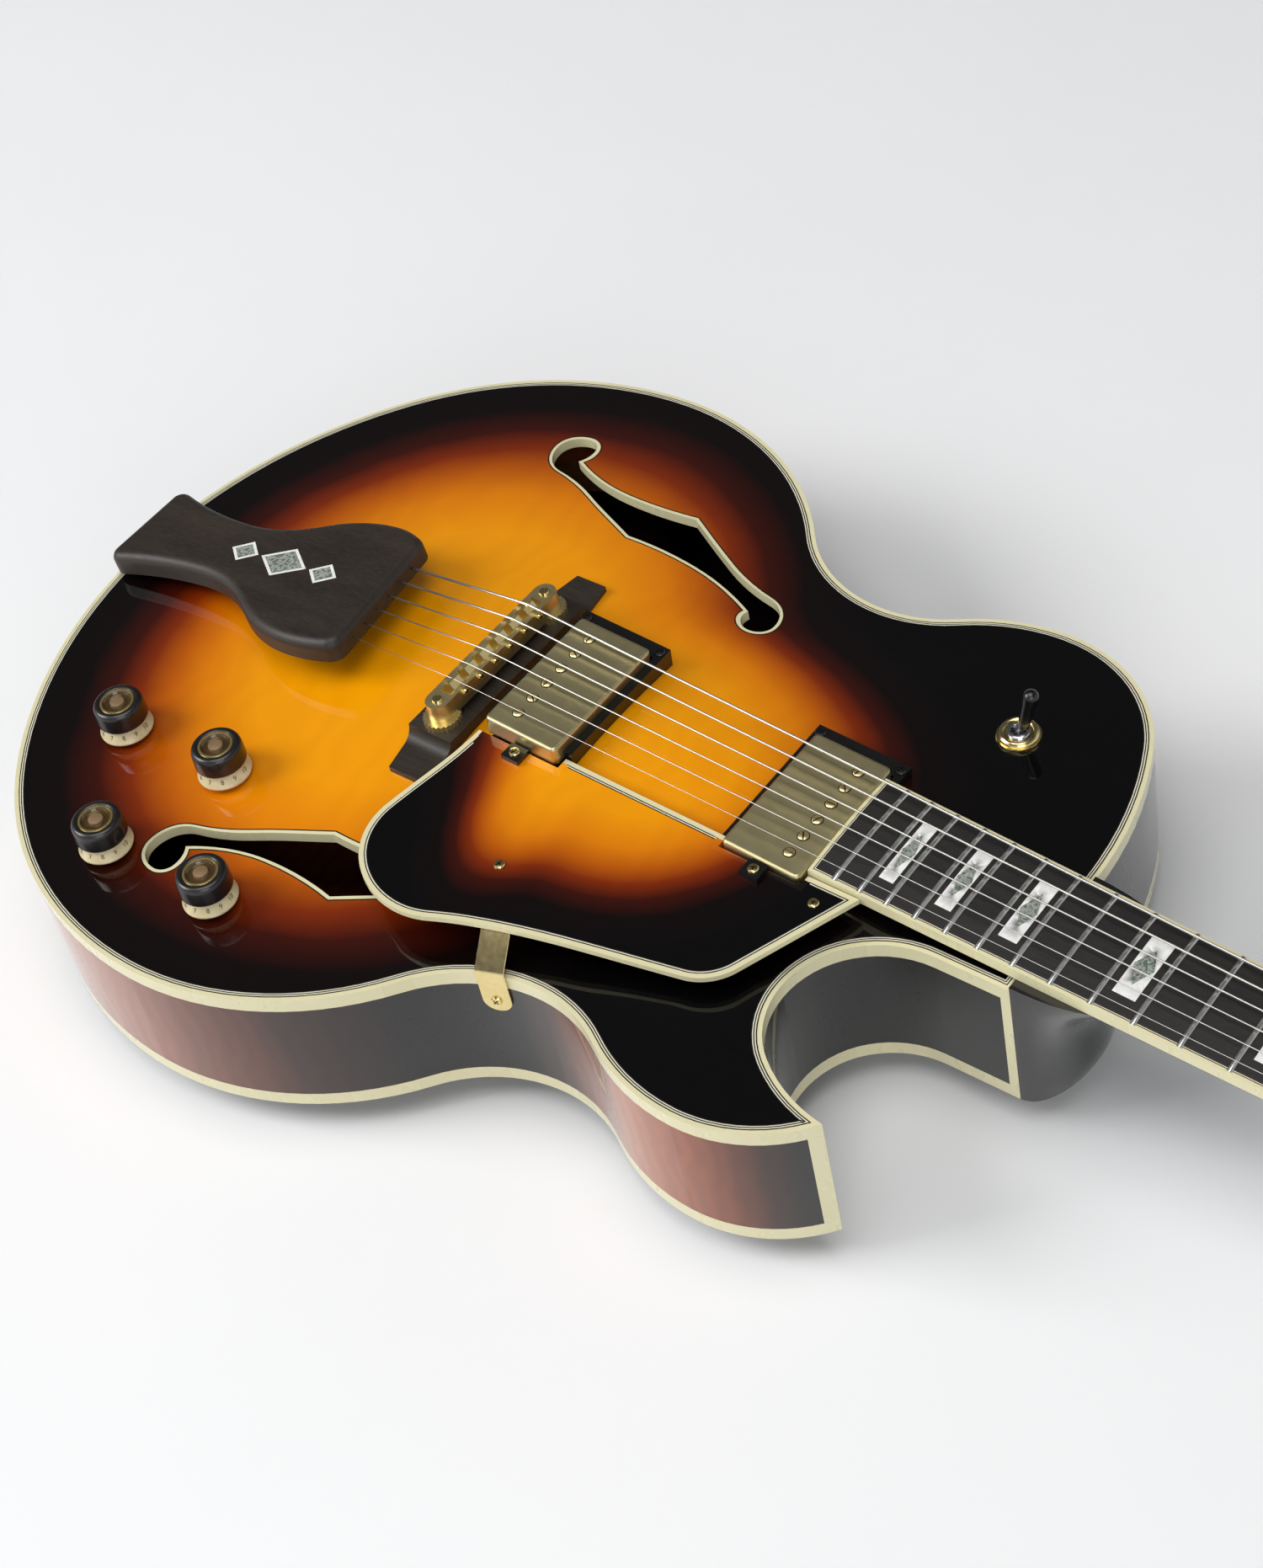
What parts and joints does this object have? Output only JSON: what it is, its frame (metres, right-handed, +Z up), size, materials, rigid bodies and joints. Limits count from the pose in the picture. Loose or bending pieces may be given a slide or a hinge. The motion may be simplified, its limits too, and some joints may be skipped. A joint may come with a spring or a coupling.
{
  "type": "archtop electric guitar",
  "caption": "Hollow-body archtop electric guitar with pointed cutaway, sunburst top with f-holes, wooden tailpiece, floating bridge, metal-covered pickups, pickguard and turning knobs.",
  "frame": {"origin": "on the flat field of the back that the guitar rests on, under the bridge line on the centre line", "axes": "+X towards the treble side with the cutaway, +Y along the strings towards the headstock, +Z up out of the top"},
  "size_m": [0.405, 1.0291, 0.1224],
  "materials": {
    "sunburst_top": "high-gloss lacquer, amber centre shading to dark edge",
    "dark_lacquer": "high-gloss dark brown lacquer",
    "black_lacquer": "high-gloss black lacquer",
    "inner_wood": "bare sanded wood",
    "cream_binding": "polished cream plastic",
    "ebony": "satin oiled ebony",
    "pearl": "polished shell",
    "gold_metal": "polished gold plating",
    "bright_steel": "polished steel",
    "black_plastic": "gloss black plastic",
    "knob_plastic": "gloss plastic with pale skirt",
    "bone": "polished bone",
    "coil_plastic": "matte black",
    "plain_metal": "plain pressed metal",
    "lead_sleeve": "soft sleeve"
  },
  "bodies": {
    "guitar": {"back_binding": "cream_binding", "back_plate": "dark_lacquer", "bridge_base": "ebony", "bridge_posts": "gold_metal", "end_blocks": "inner_wood", "f_hole_bindings": "cream_binding", "fingerboard": "ebony", "fingerboard_binding": "cream_binding", "fingerboard_inlays": "pearl", "frets": "bright_steel", "headstock_veneer": "black_lacquer", "linings": "inner_wood", "neck": "black_lacquer", "nut": "bone", "output_jack": "gold_metal", "pickguard": "black_plastic", "pickguard_binding": "cream_binding", "pickguard_bracket": "gold_metal", "pickup_coils": "coil_plastic", "pickup_covers": "gold_metal", "pickup_frames": "black_plastic", "pole_screws": "gold_metal", "pots": "plain_metal", "rim_bass": "dark_lacquer", "rim_treble": "dark_lacquer", "screws": "gold_metal", "strap_button": "gold_metal", "strings": "bright_steel", "switch_body": "gold_metal", "tailpiece": "ebony", "tailpiece_hanger": "gold_metal", "tailpiece_inlay": "pearl", "tone_bars": "inner_wood", "top_binding": "cream_binding", "top_plate": "sunburst_top", "truss_rod": "bright_steel", "truss_rod_cover": "black_plastic", "tuner_housings": "gold_metal", "wiring": "lead_sleeve"},
    "bridge_bar": {"bridge_bar": "gold_metal", "saddles": "gold_metal"},
    "thumbwheel_bass": {"thumbwheel_bass": "gold_metal"},
    "thumbwheel_treble": {"thumbwheel_treble": "gold_metal"},
    "switch_lever": {"switch_lever": "black_plastic"},
    "knob_1": {"knob_1": "knob_plastic"},
    "knob_2": {"knob_2": "knob_plastic"},
    "knob_3": {"knob_3": "knob_plastic"},
    "knob_4": {"knob_4": "knob_plastic"},
    "tuner_post_1": {"tuner_post_1": "gold_metal"},
    "tuner_button_1": {"tuner_button_1": "gold_metal"},
    "tuner_post_2": {"tuner_post_2": "gold_metal"},
    "tuner_button_2": {"tuner_button_2": "gold_metal"},
    "tuner_post_3": {"tuner_post_3": "gold_metal"},
    "tuner_button_3": {"tuner_button_3": "gold_metal"},
    "tuner_post_4": {"tuner_post_4": "gold_metal"},
    "tuner_button_4": {"tuner_button_4": "gold_metal"},
    "tuner_post_5": {"tuner_post_5": "gold_metal"},
    "tuner_button_5": {"tuner_button_5": "gold_metal"},
    "tuner_post_6": {"tuner_post_6": "gold_metal"},
    "tuner_button_6": {"tuner_button_6": "gold_metal"}
  },
  "joints": [
    {"name": "bridge_lift", "type": "slide", "parent": "guitar", "child": "bridge_bar", "axis": [0, 0, 1], "range_m": [0, 0.004], "deforming": ["strings"]},
    {"name": "thumbwheel_bass_turn", "type": "hinge", "parent": "bridge_bar", "child": "thumbwheel_bass", "pos_m": [-0.0375, 0, 0.10575], "axis": [0, 0, 1], "range_deg": [0, 1800]},
    {"name": "thumbwheel_treble_turn", "type": "hinge", "parent": "bridge_bar", "child": "thumbwheel_treble", "pos_m": [0.0375, 0, 0.10575], "axis": [0, 0, 1], "range_deg": [0, 1800]},
    {"name": "knob_1_turn", "type": "hinge", "parent": "guitar", "child": "knob_1", "pos_m": [0.1005, -0.141, 0.08738], "axis": [0, 0, 1], "range_deg": [0, 300]},
    {"name": "knob_2_turn", "type": "hinge", "parent": "guitar", "child": "knob_2", "pos_m": [0.1005, -0.078, 0.09063], "axis": [0, 0, 1], "range_deg": [0, 300]},
    {"name": "knob_3_turn", "type": "hinge", "parent": "guitar", "child": "knob_3", "pos_m": [0.157, -0.099, 0.08664], "axis": [0, 0, 1], "range_deg": [0, 300]},
    {"name": "knob_4_turn", "type": "hinge", "parent": "guitar", "child": "knob_4", "pos_m": [0.157, -0.035, 0.08751], "axis": [0, 0, 1], "range_deg": [0, 300]},
    {"name": "switch_throw", "type": "hinge", "parent": "guitar", "child": "switch_lever", "pos_m": [-0.085, 0.213, 0.08404], "axis": [0.8, 0.6, 0], "range_deg": [0, 28]},
    {"name": "button_1_turn", "type": "hinge", "parent": "guitar", "child": "tuner_button_1", "pos_m": [-0.022, 0.66038, 0.03198], "axis": [1, 0, 0], "continuous": true},
    {"name": "post_1_turn", "type": "hinge", "parent": "guitar", "child": "tuner_post_1", "pos_m": [-0.022, 0.67314, 0.04934], "axis": [0, 0.2504, 0.9681], "continuous": true},
    {"name": "button_2_turn", "type": "hinge", "parent": "guitar", "child": "tuner_button_2", "pos_m": [-0.0205, 0.69621, 0.02271], "axis": [1, 0, 0], "continuous": true},
    {"name": "post_2_turn", "type": "hinge", "parent": "guitar", "child": "tuner_post_2", "pos_m": [-0.0205, 0.70896, 0.04007], "axis": [0, 0.2504, 0.9681], "continuous": true},
    {"name": "button_3_turn", "type": "hinge", "parent": "guitar", "child": "tuner_button_3", "pos_m": [-0.019, 0.73203, 0.01345], "axis": [1, 0, 0], "continuous": true},
    {"name": "post_3_turn", "type": "hinge", "parent": "guitar", "child": "tuner_post_3", "pos_m": [-0.019, 0.74478, 0.03081], "axis": [0, 0.2504, 0.9681], "continuous": true},
    {"name": "button_4_turn", "type": "hinge", "parent": "guitar", "child": "tuner_button_4", "pos_m": [0.019, 0.73203, 0.01345], "axis": [1, 0, 0], "continuous": true},
    {"name": "post_4_turn", "type": "hinge", "parent": "guitar", "child": "tuner_post_4", "pos_m": [0.019, 0.74478, 0.03081], "axis": [0, 0.2504, 0.9681], "continuous": true},
    {"name": "button_5_turn", "type": "hinge", "parent": "guitar", "child": "tuner_button_5", "pos_m": [0.0205, 0.69621, 0.02271], "axis": [1, 0, 0], "continuous": true},
    {"name": "post_5_turn", "type": "hinge", "parent": "guitar", "child": "tuner_post_5", "pos_m": [0.0205, 0.70896, 0.04007], "axis": [0, 0.2504, 0.9681], "continuous": true},
    {"name": "button_6_turn", "type": "hinge", "parent": "guitar", "child": "tuner_button_6", "pos_m": [0.022, 0.66038, 0.03198], "axis": [1, 0, 0], "continuous": true},
    {"name": "post_6_turn", "type": "hinge", "parent": "guitar", "child": "tuner_post_6", "pos_m": [0.022, 0.67314, 0.04934], "axis": [0, 0.2504, 0.9681], "continuous": true}
  ],
  "couplings": [
    {"joint": "thumbwheel_bass_turn", "follows": "bridge_lift", "rad_per_m": 7854},
    {"joint": "thumbwheel_treble_turn", "follows": "bridge_lift", "rad_per_m": 7854},
    {"joint": "post_1_turn", "follows": "button_1_turn", "ratio": 0.066667},
    {"joint": "post_2_turn", "follows": "button_2_turn", "ratio": 0.066667},
    {"joint": "post_3_turn", "follows": "button_3_turn", "ratio": 0.066667},
    {"joint": "post_4_turn", "follows": "button_4_turn", "ratio": 0.066667},
    {"joint": "post_5_turn", "follows": "button_5_turn", "ratio": 0.066667},
    {"joint": "post_6_turn", "follows": "button_6_turn", "ratio": 0.066667}
  ]
}
